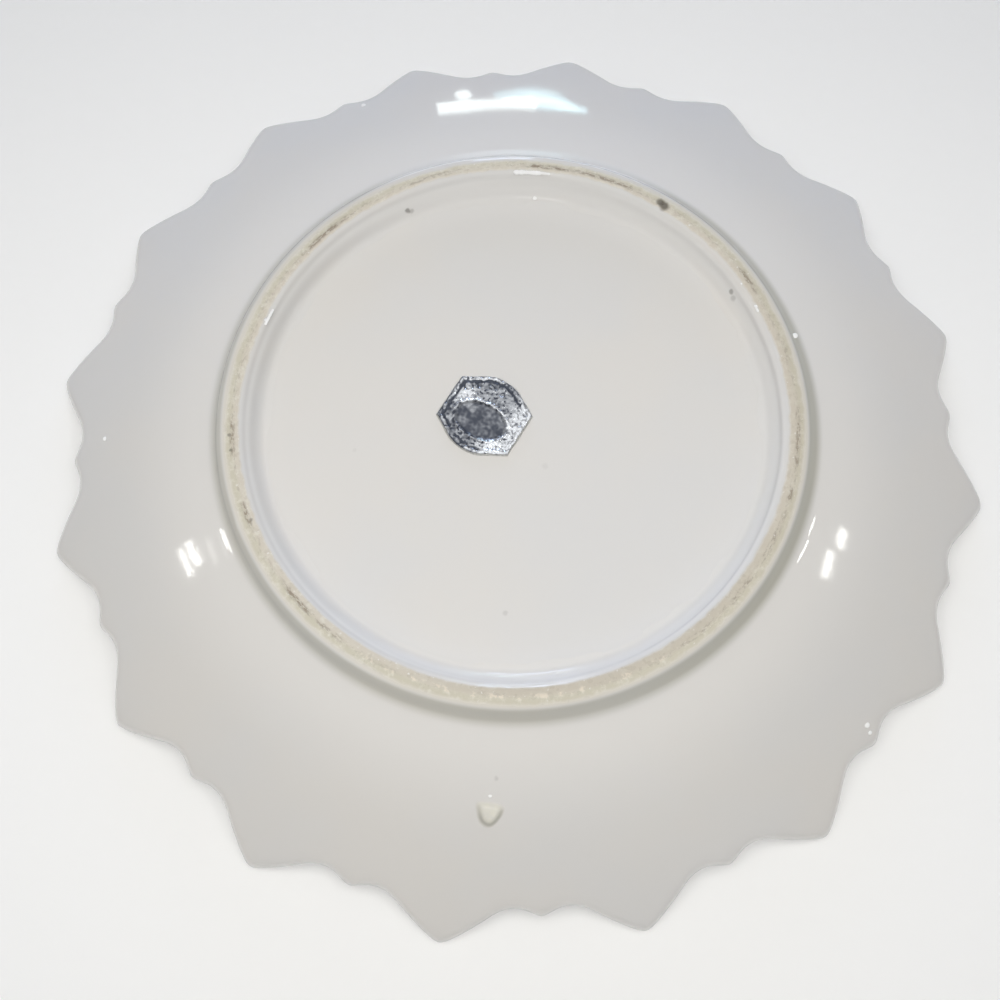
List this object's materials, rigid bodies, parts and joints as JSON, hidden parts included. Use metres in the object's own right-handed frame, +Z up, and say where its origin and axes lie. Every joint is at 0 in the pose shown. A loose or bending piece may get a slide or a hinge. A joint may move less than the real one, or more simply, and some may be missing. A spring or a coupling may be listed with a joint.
{
  "type": "collector plate",
  "caption": "Shallow glazed porcelain collector plate lying face down, with a lobed pointed rim, a round foot ring and a small foil seal on its back.",
  "frame": {"origin": "on the plate's axis, in the plane of the tips of the rim points that it stands on when it lies face down", "axes": "+Z up out of the back along the plate's axis, towards the foot ring; +X to the right and +Y away from the viewer of the back; turned over it stands on the foot ring's bearing face"},
  "size_m": [0.2016, 0.2016, 0.0216],
  "materials": {
    "glazed_porcelain": "clear glossy glaze over white porcelain",
    "foot_porcelain": "glazed walls, bare stained cream bearing face",
    "fused_clay": "cream white fired clay under thin glaze",
    "gummed_paper": "matt paper",
    "silver_foil": "crinkled embossed bright foil"
  },
  "bodies": {
    "root": {"plate_body": "glazed_porcelain", "foot_ring": "foot_porcelain", "kiln_pip": "fused_clay", "label_backing": "gummed_paper", "label_foil": "silver_foil"}
  },
  "joints": []
}
